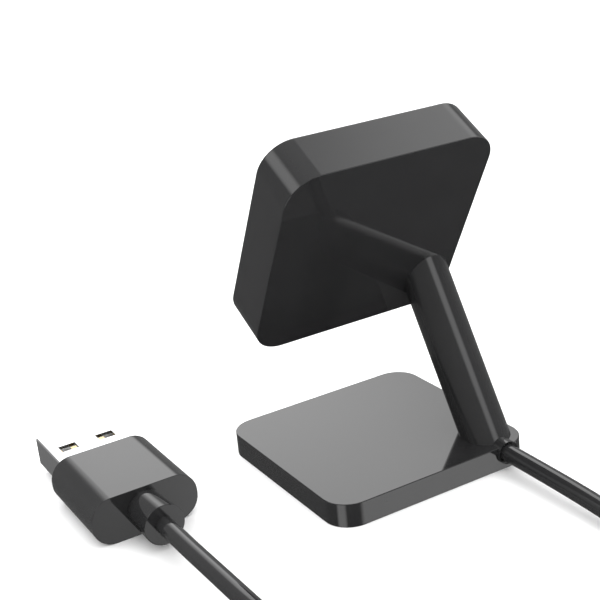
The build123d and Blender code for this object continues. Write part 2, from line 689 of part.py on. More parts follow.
# Plug tongue: insulator that fills the root of the shell and lines its lower side, grooved for the contacts
with BuildPart() as plug_tongue:
    with BuildSketch(MOULD):
        Rectangle(shell_inner_width - FIT, shell_inner_height - FIT)
    extrude(amount=SHELL_SUNK)
    with BuildSketch(MOULD.offset(TONGUE_SHORT - SHELL_LENGTH)):
        with Locations((0, -(shell_inner_height - FIT) / 2)):
            Rectangle(shell_inner_width - FIT, TONGUE_THICK - FIT / 2, align=(Align.CENTER, Align.MIN))
    extrude(amount=SHELL_LENGTH - TONGUE_SHORT)
    with BuildSketch(MOULD.offset(TONGUE_SHORT + CONTACT_SHORT - SHELL_LENGTH)):
        for contact_x in CONTACT_X:
            with Locations((contact_x, contact_low)):
                Rectangle(CONTACT_WIDTH, CONTACT_THICK, align=(Align.CENTER, Align.MIN))
    extrude(amount=SHELL_LENGTH - TONGUE_SHORT - CONTACT_SHORT + SHELL_SUNK, mode=Mode.SUBTRACT)
plug_tongue.part.label = "plug_tongue"
export_step(plug_tongue.part, "parts/plug_tongue.step")

with BuildPart() as plug_contacts:
    with BuildSketch(MOULD.offset(TONGUE_SHORT + CONTACT_SHORT - SHELL_LENGTH)):
        for contact_x in CONTACT_X:
            with Locations((contact_x, contact_low)):
                Rectangle(CONTACT_WIDTH, CONTACT_THICK, align=(Align.CENTER, Align.MIN))
    extrude(amount=SHELL_LENGTH - TONGUE_SHORT - CONTACT_SHORT + SHELL_SUNK)
plug_contacts.part.label = "plug_contacts"
export_step(plug_contacts.part, "parts/plug_contacts.step")
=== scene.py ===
import json
import math

import bmesh
import bpy
from mathutils import Euler, Matrix, Vector


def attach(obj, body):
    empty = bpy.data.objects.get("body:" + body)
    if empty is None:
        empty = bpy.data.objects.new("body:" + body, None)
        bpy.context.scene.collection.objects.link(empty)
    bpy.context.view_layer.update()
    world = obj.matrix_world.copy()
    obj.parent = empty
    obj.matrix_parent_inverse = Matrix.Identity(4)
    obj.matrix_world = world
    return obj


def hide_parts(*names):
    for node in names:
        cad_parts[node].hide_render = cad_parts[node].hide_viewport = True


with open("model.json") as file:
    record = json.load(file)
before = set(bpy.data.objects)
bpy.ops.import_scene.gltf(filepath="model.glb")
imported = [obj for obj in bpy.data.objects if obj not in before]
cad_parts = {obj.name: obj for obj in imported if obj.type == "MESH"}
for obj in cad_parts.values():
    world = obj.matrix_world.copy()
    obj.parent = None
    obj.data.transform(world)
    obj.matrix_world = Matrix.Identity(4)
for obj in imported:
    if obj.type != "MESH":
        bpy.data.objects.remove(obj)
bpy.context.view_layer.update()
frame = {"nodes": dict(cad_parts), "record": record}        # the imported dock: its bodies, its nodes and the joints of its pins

MM = 0.001
nodes = frame["nodes"]

# Camera: behind the dock, on the side of the plug, a little above the head
CAMERA_PLACE = (0.08958, 0.14803, 0.09090)
CAMERA_TURN = (69.277, 5.638, 149.661)
CAMERA_LENS = 76.68
SENSOR_WIDTH = 36.0

CORD_RADIUS = 1.3 * MM


def make_camera():
    """The camera at the photograph's place, turn and lens."""
    data = bpy.data.cameras.new("camera")
    data.lens = CAMERA_LENS
    data.sensor_width = SENSOR_WIDTH
    camera = bpy.data.objects.new("camera", data)
    camera.location = CAMERA_PLACE
    camera.rotation_euler = Euler([math.radians(angle) for angle in CAMERA_TURN])
    bpy.context.scene.collection.objects.link(camera)
    bpy.context.scene.camera = camera


make_camera()


# Cord: one lead from the gland, through the coil behind the dock, to the plug
DOCK_ROUTE = [
    (-12.1, 15.4, 2.55),
    (-12.1, 26.0, 2.55),
    (-12.1, 38.0, 2.15),
    (-11.9, 50.0, 1.3),
    (-11.3, 61.5, 1.3),
    (-11.1, 73.0, 1.3),
]
PLUG_ROUTE = [
    (31.1, 73.0, 3.9),
    (31.4, 62.5, 3.2),
    (32.6, 51.5, 1.3),
    (35.2, 41.5, 2.3),
    (36.9, 31.5, 4.6),
    (37.0, 21.0, 4.45),
    (37.0, 10.5, 4.1),
    (37.0, 1.9, 4.05),
]
COIL_MIDDLE = (10.0, 84.0)
COIL_OUTER = 21.1
CORD_THICK = 2.6
LAYER_TURNS = 4.25
POINTS_PER_TURN = 16
CLIMB_TURNS = 0.4
TIE_THICK = 0.7
TIE_SPREAD = math.radians(50)
STEPS_PER_POINT = 6
ROUND_STEPS = 5


def coil_points():
    """Two layers of turns, clockwise from above: inwards on the floor, then outwards on top, lifted over the strap."""
    points = []
    count = round(2 * LAYER_TURNS * POINTS_PER_TURN)
    bulge = 1 / math.cos(math.pi / POINTS_PER_TURN)
    for step in range(count + 1):
        turns = step / POINTS_PER_TURN
        angle = math.pi - turns * math.tau
        radius = (COIL_OUTER - CORD_THICK * (LAYER_TURNS - abs(turns - LAYER_TURNS))) * bulge
        climb = min(max((turns - LAYER_TURNS) / CLIMB_TURNS + 0.5, 0), 1)
        off_tie = abs(math.remainder(angle - math.pi / 2, math.tau))
        lift = TIE_THICK * math.cos(off_tie / TIE_SPREAD * math.pi / 2) ** 2 if off_tie < TIE_SPREAD else 0
        height = CORD_THICK / 2 + CORD_THICK * climb + lift
        points.append((COIL_MIDDLE[0] + radius * math.cos(angle), COIL_MIDDLE[1] + radius * math.sin(angle), height))
    return points


def make_curve(name, points, radius):
    """A round tube on one smooth NURBS line that follows the given control points, in millimetres."""
    data = bpy.data.curves.new(name, "CURVE")
    data.dimensions = "3D"
    data.bevel_depth = 1.0
    data.bevel_resolution = ROUND_STEPS
    data.resolution_u = STEPS_PER_POINT
    data.use_fill_caps = True
    spline = data.splines.new("NURBS")
    spline.points.add(len(points) - 1)
    for point, place in zip(spline.points, points):
        point.co = (place[0] * MM, place[1] * MM, place[2] * MM, 1)
        point.radius = radius
    spline.order_u = 3
    spline.use_endpoint_u = True
    curve = bpy.data.objects.new(name, data)
    bpy.context.scene.collection.objects.link(curve)
    return curve


cord = make_curve("lead", DOCK_ROUTE + coil_points() + PLUG_ROUTE, CORD_RADIUS)
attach(cord, "dock")
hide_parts("cord_dock_run", "cord_coil", "cord_plug_run")


# Finishes: shared effects as node groups, then one function for each kind of surface.
# Each noise has its scale, in patches for each metre, and its detail. The reliefs are in metres.
CLOUD, RIPPLE, GRAIN = (180.0, 3.0), (420.0, 1.0), (9000.0, 2.0)
CLOUD_AMOUNT, CLOUD_TINT, CLOUD_GLOSS = 0.25, (0.6, 1.0), (0.85, 1.15)
STREAKS, STREAK_DETAIL = (4000.0, 4000.0, 300.0), 3.0
STREAK_AMOUNT, STREAK_TINT, STREAK_GLOSS = 0.35, (0.7, 1.0), (0.7, 1.3)
PLASTIC_RELIEF, METAL_RELIEF = 0.004 * MM, 0.0015 * MM


def new_group(name, inputs, outputs):
    """An empty shader node group with the given (name, kind, default) inputs and (name, kind) outputs."""
    tree = bpy.data.node_groups.new(name, "ShaderNodeTree")
    for label, kind, default in inputs:
        socket = tree.interface.new_socket(label, in_out="INPUT", socket_type=kind)
        socket.default_value = default
    for label, kind in outputs:
        tree.interface.new_socket(label, in_out="OUTPUT", socket_type=kind)
    return tree, tree.nodes.new("NodeGroupInput"), tree.nodes.new("NodeGroupOutput")


def noise_node(tree, vector, scale, detail):
    """A noise texture on the given coordinates."""
    node = tree.nodes.new("ShaderNodeTexNoise")
    node.inputs["Scale"].default_value = scale
    node.inputs["Detail"].default_value = detail
    tree.links.new(vector, node.inputs["Vector"])
    return node


def spread(tree, value, low, high):
    """Maps a noise value between 0.3 and 0.7 onto the range from low to high."""
    node = tree.nodes.new("ShaderNodeMapRange")
    node.inputs["From Min"].default_value = 0.3
    node.inputs["From Max"].default_value = 0.7
    node.inputs["To Min"].default_value = low
    node.inputs["To Max"].default_value = high
    tree.links.new(value, node.inputs["Value"])
    return node.outputs["Result"]


def moulded_group():
    """Moulded plastic: a slight cloudiness of colour and gloss, and the fine ripple that polished moulds leave."""
    tree, source, result = new_group(
        "moulded_plastic",
        [
            ("Colour", "NodeSocketColor", (0.03, 0.03, 0.03, 1)),
            ("Roughness", "NodeSocketFloat", 0.2),
            ("Cloud", "NodeSocketFloat", 0.1),
            ("Ripple", "NodeSocketFloat", 0.02),
            ("Grain", "NodeSocketFloat", 0.0),
        ],
        [("Colour", "NodeSocketColor"), ("Roughness", "NodeSocketFloat"), ("Height", "NodeSocketFloat")],
    )
    place = tree.nodes.new("ShaderNodeTexCoord").outputs["Object"]
    cloud, ripple, grain = (noise_node(tree, place, *noise) for noise in (CLOUD, RIPPLE, GRAIN))
    tint = tree.nodes.new("ShaderNodeMix")
    tint.data_type = "RGBA"
    tint.blend_type = "MULTIPLY"
    tree.links.new(source.outputs["Cloud"], tint.inputs["Factor"])
    tree.links.new(source.outputs["Colour"], tint.inputs["A"])
    tree.links.new(spread(tree, cloud.outputs["Fac"], *CLOUD_TINT), tint.inputs["B"])
    tree.links.new(tint.outputs["Result"], result.inputs["Colour"])
    gloss = tree.nodes.new("ShaderNodeMath")
    gloss.operation = "MULTIPLY"
    tree.links.new(source.outputs["Roughness"], gloss.inputs[0])
    tree.links.new(spread(tree, cloud.outputs["Fac"], *CLOUD_GLOSS), gloss.inputs[1])
    tree.links.new(gloss.outputs["Value"], result.inputs["Roughness"])
    heights = []
    for amount, texture in (("Ripple", ripple), ("Grain", grain)):
        scaled = tree.nodes.new("ShaderNodeMath")
        scaled.operation = "MULTIPLY"
        tree.links.new(source.outputs[amount], scaled.inputs[0])
        tree.links.new(texture.outputs["Fac"], scaled.inputs[1])
        heights.append(scaled.outputs["Value"])
    total = tree.nodes.new("ShaderNodeMath")
    total.operation = "ADD"
    tree.links.new(heights[0], total.inputs[0])
    tree.links.new(heights[1], total.inputs[1])
    tree.links.new(total.outputs["Value"], result.inputs["Height"])
    return tree


def brushed_group():
    """Drawn or stamped metal: streaks along one direction in colour, gloss and height."""
    tree, source, result = new_group(
        "brushed_metal",
        [
            ("Colour", "NodeSocketColor", (0.6, 0.6, 0.6, 1)),
            ("Roughness", "NodeSocketFloat", 0.25),
            ("Streaks", "NodeSocketVector", STREAKS),
        ],
        [("Colour", "NodeSocketColor"), ("Roughness", "NodeSocketFloat"), ("Height", "NodeSocketFloat")],
    )
    place = tree.nodes.new("ShaderNodeTexCoord").outputs["Object"]
    stretch = tree.nodes.new("ShaderNodeVectorMath")
    stretch.operation = "MULTIPLY"
    tree.links.new(place, stretch.inputs[0])
    tree.links.new(source.outputs["Streaks"], stretch.inputs[1])
    streak = noise_node(tree, stretch.outputs["Vector"], 1.0, STREAK_DETAIL)
    tint = tree.nodes.new("ShaderNodeMix")
    tint.data_type = "RGBA"
    tint.blend_type = "MULTIPLY"
    tint.inputs["Factor"].default_value = STREAK_AMOUNT
    tree.links.new(source.outputs["Colour"], tint.inputs["A"])
    tree.links.new(spread(tree, streak.outputs["Fac"], *STREAK_TINT), tint.inputs["B"])
    tree.links.new(tint.outputs["Result"], result.inputs["Colour"])
    gloss = tree.nodes.new("ShaderNodeMath")
    gloss.operation = "MULTIPLY"
    tree.links.new(source.outputs["Roughness"], gloss.inputs[0])
    tree.links.new(spread(tree, streak.outputs["Fac"], *STREAK_GLOSS), gloss.inputs[1])
    tree.links.new(gloss.outputs["Value"], result.inputs["Roughness"])
    tree.links.new(streak.outputs["Fac"], result.inputs["Height"])
    return tree


MOULDED = moulded_group()
BRUSHED = brushed_group()


def new_material(name, group, values, bump, plain):
    """A material from one Principled shader, fed by a node group, with plain values on its other sockets."""
    material = bpy.data.materials.new(name)
    material.use_nodes = True
    tree = material.node_tree
    shader = tree.nodes["Principled BSDF"]
    for label, value in plain.items():
        shader.inputs[label].default_value = value
    surface = tree.nodes.new("ShaderNodeGroup")
    surface.node_tree = group
    for label, value in values.items():
        surface.inputs[label].default_value = value
    tree.links.new(surface.outputs["Colour"], shader.inputs["Base Color"])
    tree.links.new(surface.outputs["Roughness"], shader.inputs["Roughness"])
    relief = tree.nodes.new("ShaderNodeBump")
    relief.inputs["Strength"].default_value = 1.0
    relief.inputs["Distance"].default_value = bump
    tree.links.new(surface.outputs["Height"], relief.inputs["Height"])
    tree.links.new(relief.outputs["Normal"], shader.inputs["Normal"])
    return material


def plastic(name, colour, roughness, grain=0.0, ripple=0.2):
    """Moulded plastic or rubber, polished or grained."""
    return new_material(
        name,
        MOULDED,
        {"Colour": (*colour, 1), "Roughness": roughness, "Cloud": CLOUD_AMOUNT, "Ripple": ripple, "Grain": grain},
        PLASTIC_RELIEF,
        {"IOR": 1.5},
    )


def metal(name, colour, roughness):
    """Bare or plated metal with fine streaks."""
    return new_material(
        name,
        BRUSHED,
        {"Colour": (*colour, 1), "Roughness": roughness, "Streaks": STREAKS},
        METAL_RELIEF,
        {"Metallic": 1.0},
    )


FINISHES = {
    "gloss_black": plastic("gloss_black", (0.0165, 0.0165, 0.017), 0.05, ripple=0.05),
    "stem_black": plastic("stem_black", (0.018, 0.018, 0.0185), 0.09, ripple=0.1),
    "plate_black": plastic("plate_black", (0.03, 0.03, 0.032), 0.5, grain=1.0),
    "pad_rubber": plastic("pad_rubber", (0.045, 0.045, 0.045), 0.7, grain=1.5),
    "weight_steel": metal("weight_steel", (0.5, 0.5, 0.51), 0.4),
    "screw_steel": metal("screw_steel", (0.55, 0.55, 0.55), 0.3),
    "board_green": plastic("board_green", (0.02, 0.12, 0.06), 0.35),
    "part_black": plastic("part_black", (0.03, 0.03, 0.03), 0.5, grain=0.6),
    "pin_insulator": plastic("pin_insulator", (0.03, 0.03, 0.03), 0.4),
    "pin_brass": metal("pin_brass", (0.83, 0.62, 0.3), 0.2),
    "spring_steel": metal("spring_steel", (0.6, 0.6, 0.6), 0.25),
    "magnet_nickel": metal("magnet_nickel", (0.62, 0.62, 0.63), 0.2),
    "lead_sheath": plastic("lead_sheath", (0.09, 0.09, 0.09), 0.5),
    "cord_black": plastic("cord_black", (0.02, 0.02, 0.0205), 0.08, grain=0.03),
    "tie_black": plastic("tie_black", (0.03, 0.03, 0.03), 0.8, grain=3.0),
    "plug_black": plastic("plug_black", (0.017, 0.017, 0.0175), 0.06, ripple=0.05),
    "plug_nickel": metal("plug_nickel", (0.78, 0.78, 0.79), 0.09),
    "tongue_white": plastic("tongue_white", (0.6, 0.6, 0.58), 0.4),
    "contact_gold": metal("contact_gold", (0.83, 0.62, 0.3), 0.2),
}
SLOTS = {row["node"]: row["material_slot"] for row in frame["record"]["subparts"]}
for node, slot in SLOTS.items():
    nodes[node].data.materials.clear()
    nodes[node].data.materials.append(FINISHES[slot])
cord.data.materials.append(FINISHES["cord_black"])


# Pieces: each is shaped in millimetres on its own plane, whose Z is the depth, and then stood in its place
NEAR = 0.0001
CORNER_STEPS, EDGE_STEPS, HOOP_SIDES = 14, 3, 96


def plane(origin, across, forward):
    """A plane as a matrix: its origin, its own X, and the way that it faces."""
    across, forward = Vector(across).normalized(), Vector(forward).normalized()
    turn = Matrix((across, forward.cross(across), forward)).transposed()
    return Matrix.Translation(origin) @ turn.to_4x4()


def flat(parts, depth):
    """Those of the edges or faces that lie at a depth."""
    return [part for part in parts if all(abs(vert.co.z - depth) < NEAR for vert in part.verts)]


def widest(shape, depth):
    """The widest face at a depth."""
    return max(flat(shape.faces, depth), key=lambda face: face.calc_area())


def bevel(shape, geom, offset, segments, affect):
    """Rounds edges, or the corners of an outline, and returns the new corners."""
    return bmesh.ops.bevel(
        shape,
        geom=list(geom),
        offset=offset,
        offset_type="OFFSET",
        affect=affect,
        segments=segments,
        profile=0.5,
        material=-1,
    )["verts"]


def extrude(shape, face, way):
    """Draws a face out along a way."""
    made = bmesh.ops.extrude_face_region(shape, geom=[face, *face.edges])["geom"]
    bmesh.ops.translate(shape, vec=way, verts=[part for part in made if isinstance(part, bmesh.types.BMVert)])


def push(shape, start, end):
    """Draws the widest face at one depth out to another."""
    extrude(shape, widest(shape, start), (0, 0, end - start))


def inset(shape, depth, thickness, raise_by=0.0):
    """Insets the widest face at a depth, and lifts or sinks it."""
    face = widest(shape, depth)
    bmesh.ops.inset_region(shape, faces=[face], thickness=thickness, depth=raise_by, use_even_offset=True)


def soften(shape, depth, radius, steps=EDGE_STEPS):
    """Rounds the edges of the widest face at a depth."""
    bevel(shape, widest(shape, depth).edges, radius, steps, "EDGES")


def block(shape, width, height, corner, start, end, middle=(0.0, 0.0), arc=CORNER_STEPS):
    """A block with round corners between two depths."""
    place = Matrix.Translation((*middle, start)) @ Matrix.Diagonal((width, height, 1.0, 1.0))
    corners = bmesh.ops.create_grid(shape, x_segments=1, y_segments=1, size=0.5, matrix=place)["verts"]
    if corner:
        corners = bevel(shape, corners, corner, arc, "VERTICES")
    extrude(shape, corners[0].link_faces[0], (0, 0, end - start))


def hoop(shape, radius, depth, middle=(0.0, 0.0), count=HOOP_SIDES):
    """A circle of edges at a depth."""
    place = Matrix.Translation((*middle, depth))
    corners = bmesh.ops.create_circle(shape, segments=count, radius=radius, matrix=place)["verts"]
    return list(dict.fromkeys(edge for corner in corners for edge in corner.link_edges))


def tube(shape, *hoops):
    """Bridges each hoop to the next."""
    for before, after in zip(hoops, hoops[1:]):
        bmesh.ops.bridge_loops(shape, edges=before + after)


def fill(shape, depth):
    """Takes the faces at a depth away, and fills what is between their outlines and the hoops there."""
    bmesh.ops.delete(shape, geom=flat(shape.faces, depth), context="FACES_ONLY")
    bmesh.ops.triangle_fill(shape, edges=flat(shape.edges, depth), use_beauty=True)


def edge_steps(radius):
    """The inset and the depth at each step over a rounded edge, from a flat face to its side."""
    turns = [index / EDGE_STEPS * math.pi / 2 for index in range(EDGE_STEPS + 1)]
    return [(radius * (1 - math.sin(turn)), radius * (1 - math.cos(turn))) for turn in turns]


JOIN = 0.001 * MM
CRISP, SOFT = math.radians(12), math.radians(50)


def new_piece(name, shape, slot, *replaced, seat=None, body="dock", sharp=CRISP):
    """Makes a piece of a mesh: in its place, joined, facing outwards, smooth where it is round, and on its body."""
    if seat:
        bmesh.ops.transform(shape, matrix=Matrix.Scale(MM, 4) @ seat, verts=shape.verts)
    bmesh.ops.remove_doubles(shape, verts=shape.verts, dist=JOIN)
    bmesh.ops.recalc_face_normals(shape, faces=shape.faces)
    for face in shape.faces:
        face.smooth = True
    mesh = bpy.data.meshes.new(name)
    shape.to_mesh(mesh)
    shape.free()
    mesh.set_sharp_from_angle(angle=sharp)
    mesh.materials.append(FINISHES[slot])
    piece = bpy.data.objects.new(name, mesh)
    bpy.context.scene.collection.objects.link(piece)
    normals = piece.modifiers.new("even_flats", "WEIGHTED_NORMAL")
    normals.keep_sharp = True
    normals.thresh = 0.0
    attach(piece, body)
    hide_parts(*replaced)
    return piece


REFINED_SHARP = math.radians(30)
FLAT_WITHIN = math.radians(0.5)


def refine(node, body="dock"):
    """Stands a joined, smooth-shaded copy in the place of a node, each of its flat sides in one face."""
    shape = bmesh.new()
    shape.from_mesh(nodes[node].data)
    bmesh.ops.remove_doubles(shape, verts=shape.verts, dist=JOIN)
    bmesh.ops.dissolve_limit(shape, angle_limit=FLAT_WITHIN, verts=shape.verts, edges=shape.edges)
    return new_piece(node + "_fine", shape, SLOTS[node], node, body=body, sharp=REFINED_SHARP)


# Base and head: blocks with fine rounded edges, hollowed from below and from the front
FLOOR = Matrix.Identity(4)
BASE_SIZE, BASE_HEIGHT, BASE_CORNER, BASE_EDGE = 33.0, 3.6, 4.0, 0.08
BASE_WALL, BASE_LIFT, BASE_CEILING = 1.1, 0.02, 2.7


def make_base_cover():
    """The base's cover: a low square tray, upside down."""
    shape = bmesh.new()
    block(shape, BASE_SIZE, BASE_SIZE, BASE_CORNER, BASE_LIFT, BASE_HEIGHT)
    soften(shape, BASE_LIFT, BASE_EDGE)
    soften(shape, BASE_HEIGHT, BASE_EDGE)
    inset(shape, BASE_LIFT, BASE_WALL - BASE_EDGE)
    push(shape, BASE_LIFT, BASE_CEILING)
    return new_piece("base_case", shape, "gloss_black", "base_cover", seat=FLOOR)


LEAN = math.radians(30)
HEAD = plane((0.0, 4.07, 34.2053), (1, 0, 0), (0, -math.cos(LEAN), math.sin(LEAN)))
HEAD_SIZE, HEAD_DEPTH, HEAD_CORNER, HEAD_EDGE, RIM_EDGE = 33.0, 7.7, 4.8, 0.08, 0.28
HEAD_WALL, HEAD_BACK, RIM_WALL, CRADLE_SEAT = 1.2, 1.3, 0.8, 6.0


def make_head_shell():
    """The head's case: its back is the plain glossy face, and its front has the rim and the ledge for the cradle."""
    shape = bmesh.new()
    block(shape, HEAD_SIZE, HEAD_SIZE, HEAD_CORNER, 0, HEAD_DEPTH)
    soften(shape, 0, HEAD_EDGE)
    soften(shape, HEAD_DEPTH, RIM_EDGE)
    inset(shape, HEAD_DEPTH, RIM_WALL - RIM_EDGE)
    push(shape, HEAD_DEPTH, CRADLE_SEAT)
    inset(shape, CRADLE_SEAT, HEAD_WALL - RIM_WALL)
    push(shape, CRADLE_SEAT, HEAD_BACK)
    return new_piece("head_case", shape, "gloss_black", "head_shell", seat=HEAD)


CRADLE_SIZE, CRADLE_CORNER, CRADLE_EDGE = 31.2, 3.9, 0.12
DISH_RADIUS, DISH_DEPTH, DISH_EDGE, DISH_SIDES = 12.6, 0.7, 0.15, 128
WINDOW_SIZE, WINDOW_CORNER = (11.0, 3.2), 0.15
HOOK_WIDTH = 4.0
HOOK_PROFILE = ((14.9, 6.0), (14.9, 4.8), (15.25, 4.8), (14.9, 4.2), (14.1, 4.2), (14.1, 6.0))


def make_cradle():
    """The cover that the watch lies on: a round dish with a window for the pins, and a hook behind each side."""
    shape = bmesh.new()
    block(shape, CRADLE_SIZE, CRADLE_SIZE, CRADLE_CORNER, CRADLE_SEAT, HEAD_DEPTH)
    soften(shape, HEAD_DEPTH, CRADLE_EDGE)
    dish_floor = HEAD_DEPTH - DISH_DEPTH
    steps = edge_steps(DISH_EDGE)
    lip = [(DISH_RADIUS + side, HEAD_DEPTH - depth) for side, depth in steps]
    root = [(DISH_RADIUS - side, dish_floor + depth) for side, depth in reversed(steps)]
    tube(shape, *[hoop(shape, radius, depth, count=DISH_SIDES) for radius, depth in lip + root])
    block(shape, *WINDOW_SIZE, WINDOW_CORNER, CRADLE_SEAT, dish_floor, arc=3)
    for depth in (HEAD_DEPTH, dish_floor, CRADLE_SEAT):
        fill(shape, depth)
    for quarter in range(4):
        turn = Matrix.Rotation(quarter * math.pi / 2, 4, "Z")
        corners = [shape.verts.new(turn @ Vector((reach, -HOOK_WIDTH / 2, depth))) for reach, depth in HOOK_PROFILE]
        extrude(shape, shape.faces.new(corners), turn @ Vector((0, HOOK_WIDTH, 0)))
    return new_piece("watch_cradle", shape, "gloss_black", "cradle", seat=HEAD)


# Stem: a round tube, longer than it should be, cut off level with the base and with the head's back
STEM_FOOT = Vector((-12.1, 11.3, 3.6))
STEM = plane(STEM_FOOT, (1, 0, 0), (0, -math.sin(LEAN), math.cos(LEAN)))
STEM_RADIUS, STEM_BORE, STEM_SIDES = 3.6, 1.5, 128
STEM_UNCUT = (-5.0, 40.0)
DOWN = Vector((0, 0, -1))


def make_stem():
    """The stem, its ends lying on the base's top and on the head's back."""
    shape = bmesh.new()
    for radius in (STEM_RADIUS, STEM_BORE):
        tube(shape, *[hoop(shape, radius, depth, count=STEM_SIDES) for depth in STEM_UNCUT])
    turn = STEM.inverted()
    for place, way in ((STEM_FOOT, DOWN), (HEAD.translation, HEAD.col[2].to_3d())):
        cut = bmesh.ops.bisect_plane(
            shape,
            geom=[*shape.verts, *shape.edges, *shape.faces],
            plane_co=turn @ place,
            plane_no=turn.to_3x3() @ way,
            clear_outer=True,
        )["geom_cut"]
        outlines = [part for part in cut if isinstance(part, bmesh.types.BMEdge)]
        bmesh.ops.triangle_fill(shape, edges=outlines, use_beauty=True)
    return new_piece("stem_tube", shape, "stem_black", "stem", seat=STEM)


# Gland: the sleeve round the cord in the rear wall
GLAND = plane((-12.1, 16.9, 2.55), (1, 0, 0), (0, -1, 0))
GLAND_RADIUS, GLAND_LENGTH, GLAND_EDGE, GLAND_MOUTH, WIRE_RADIUS = 1.75, 2.5, 0.02, 0.25, 0.7
CORD_HOLE, CORD_SINK, PLUG_SINK = 1.3, 1.5, 3.0


def make_gland():
    """The gland, its mouth sunk round the cord in front, and its rear end open for the bare lead."""
    shape = bmesh.new()
    profile = [(GLAND_RADIUS - side, depth) for side, depth in edge_steps(GLAND_EDGE)]
    profile += [(GLAND_RADIUS, GLAND_LENGTH), (WIRE_RADIUS, GLAND_LENGTH), (WIRE_RADIUS, CORD_SINK)]
    profile += [(CORD_HOLE, CORD_SINK), (CORD_HOLE, GLAND_MOUTH)]
    hoops = [hoop(shape, radius, depth) for radius, depth in profile]
    tube(shape, *hoops, hoops[0])
    return new_piece("gland_sleeve", shape, "cord_black", "cord_gland", seat=GLAND)


# Plug: the moulded grip with its stub, and the folded shell
MOULD = plane((37.0, -17.3, 3.55), (-1, 0, 0), (0, 1, 0))
MOULD_SIZE, MOULD_ROUND, MOULD_LENGTH, MOULD_EDGE = (16.0, 7.1), 3.3, 15.9, 0.06
STUB_ROOT_RADIUS, STUB_ROOT_MIDDLE = 2.78, (0.0, 0.2)
STUB_RADIUS, STUB_MIDDLE, STUB_LENGTH, STUB_EDGE = 2.97, (0.08, 0.4), 6.3, 0.06
CORD_MIDDLE = (0.0, 0.5)
SHELL_SIZE, SHELL_CORNER, SHELL_SUNK, SHELL_LENGTH = (12.0, 4.5), 0.3, 2.6, 11.8
SHEET, FOLD_STEPS, FOLD_INNER = 0.3, 4, 0.02
LATCH_SIZE, LATCH_X, LATCH_BACK, LATCH_LIP, LIP_WALL = (2.7, 2.05), 3.0, 5.45, 0.2, 0.1
ON_ITS_SIDE = Matrix.Rotation(math.pi / 2, 4, "X")


def make_plug_grip():
    """The plug's grip: a full-rounded block, pocketed for the shell, with the stub standing on its rear face."""
    shape = bmesh.new()
    block(shape, *MOULD_SIZE, MOULD_ROUND, 0, MOULD_LENGTH)
    soften(shape, 0, MOULD_EDGE)
    soften(shape, MOULD_LENGTH, MOULD_EDGE)
    block(shape, *SHELL_SIZE, SHELL_CORNER, SHELL_SUNK, 0, arc=FOLD_STEPS)
    end = MOULD_LENGTH + STUB_LENGTH
    steps = reversed(edge_steps(STUB_EDGE))
    stub = [hoop(shape, STUB_ROOT_RADIUS, MOULD_LENGTH, STUB_ROOT_MIDDLE)]
    stub += [hoop(shape, STUB_RADIUS - side, end - depth, STUB_MIDDLE) for side, depth in steps]
    tube(shape, *stub)
    tube(shape, *[hoop(shape, CORD_HOLE, depth, CORD_MIDDLE) for depth in (end, end - PLUG_SINK)])
    for depth in (0, MOULD_LENGTH, end, end - PLUG_SINK):
        fill(shape, depth)
    return new_piece("plug_grip", shape, "plug_black", "plug_mould", seat=MOULD)


def make_plug_shell():
    """The plug's shell: folded sheet, with two lipped latch holes above and two below."""
    shape = bmesh.new()
    inner = [size - 2 * SHEET for size in SHELL_SIZE]
    lipped = [size + 2 * LIP_WALL for size in LATCH_SIZE]
    block(shape, *SHELL_SIZE, SHELL_CORNER, -SHELL_LENGTH, SHELL_SUNK, arc=FOLD_STEPS)
    block(shape, *inner, FOLD_INNER, -SHELL_LENGTH, SHELL_SUNK, arc=FOLD_STEPS)
    for depth in (-SHELL_LENGTH, SHELL_SUNK):
        fill(shape, depth)
    bmesh.ops.transform(shape, matrix=ON_ITS_SIDE, verts=shape.verts)
    for side in (-1, 1):
        face, back, lip = (side * (SHELL_SIZE[1] / 2 - sunk) for sunk in (0, SHEET, SHEET + LATCH_LIP))
        for x in (-LATCH_X, LATCH_X):
            block(shape, *LATCH_SIZE, 0, lip, face, (x, LATCH_BACK))
            block(shape, *lipped, 0, lip, back, (x, LATCH_BACK))
        for depth in (face, back, lip):
            fill(shape, depth)
    bmesh.ops.transform(shape, matrix=ON_ITS_SIDE.inverted(), verts=shape.verts)
    return new_piece("shell_sheet", shape, "plug_nickel", "plug_shell", seat=MOULD)


# Strap round the coil: one band with its end lapped over on top
STRAP = plane((10.0, 99.7, 3.3), (0, 1, 0), (1, 0, 0))
STRAP_INNER, STRAP_THICK, STRAP_WIDTH, STRAP_ROUND, STRAP_STEPS = (13.65, 5.2), 0.7, 5.0, 1.3, 8
LAP_SIZE, LAP_ROUND, LAP_THICK, LAP_SHIFT = (6.0, 4.6), 1.2, 0.5, 2.2


